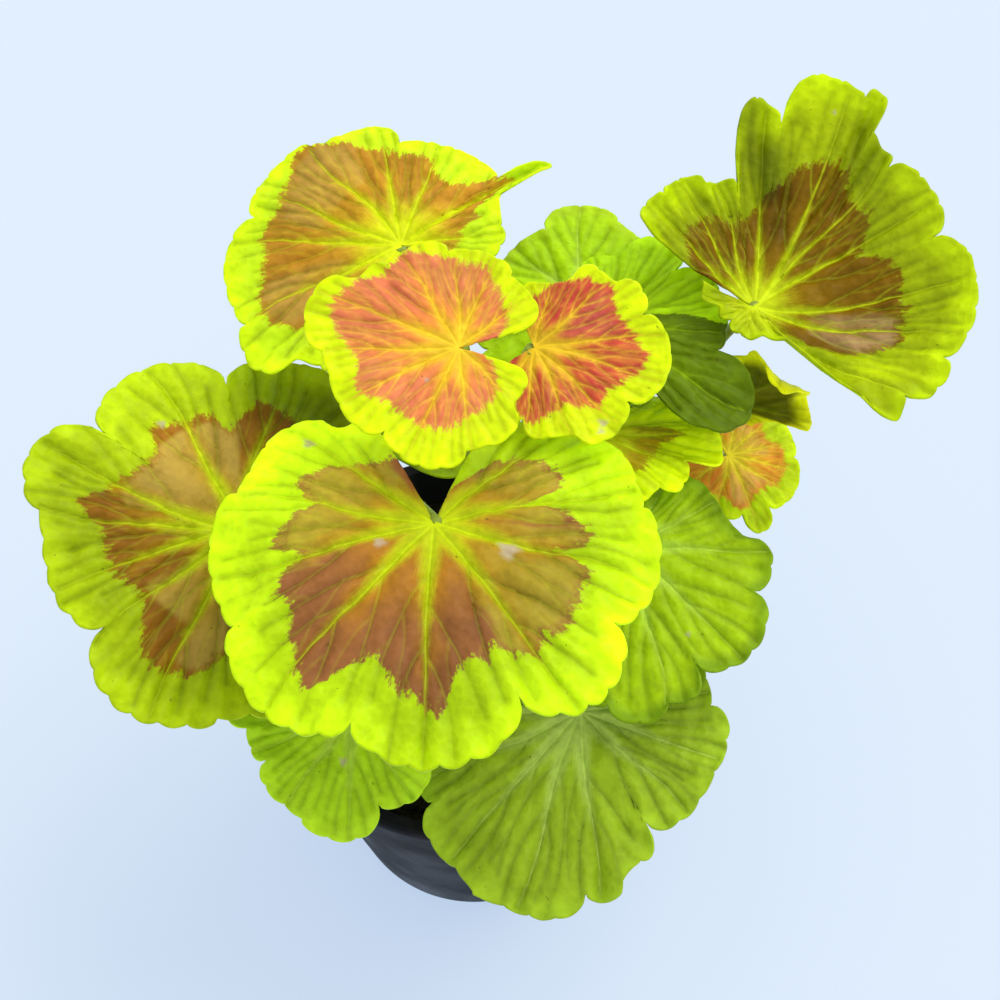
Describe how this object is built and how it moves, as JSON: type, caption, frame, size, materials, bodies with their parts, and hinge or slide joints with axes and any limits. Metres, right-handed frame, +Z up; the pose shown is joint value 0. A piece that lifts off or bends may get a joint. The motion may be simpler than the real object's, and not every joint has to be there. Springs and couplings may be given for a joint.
{
  "type": "potted pelargonium",
  "caption": "Potted zonal pelargonium: broad crenate leaves on long stalks from a short jointed stem, rooted in soil in a round tapered nursery pot.",
  "frame": {"origin": "middle of the pot's underside, on the pot's axis", "axes": "+Z up along the pot's axis, +X to the right and +Y away as the picture sees the plant"},
  "size_m": [0.2067, 0.1682, 0.2004],
  "materials": {
    "pot": "satin moulded plastic",
    "soil": "rough, crumbly",
    "stem": "matt, finely hairy",
    "golden_leaf": "matt, finely hairy",
    "bright_leaf": "matt, finely hairy",
    "green_leaf": "matt, finely hairy",
    "dark_leaf": "matt, finely hairy"
  },
  "bodies": {
    "root": {"pot": "pot", "soil": "soil", "stems": "stem", "leaf_front": "golden_leaf", "leaf_left": "golden_leaf", "leaf_back_left": "golden_leaf", "leaf_centre_left": "bright_leaf", "leaf_centre_right": "bright_leaf", "leaf_far_right": "golden_leaf", "leaf_behind": "green_leaf", "leaf_mid_right": "dark_leaf", "leaf_curled": "dark_leaf", "leaf_orange": "bright_leaf", "leaf_low_right": "green_leaf", "leaf_right": "green_leaf", "leaf_bottom_right": "green_leaf", "leaf_bottom_left": "green_leaf", "leaf_inner_left": "dark_leaf"}
  },
  "joints": []
}
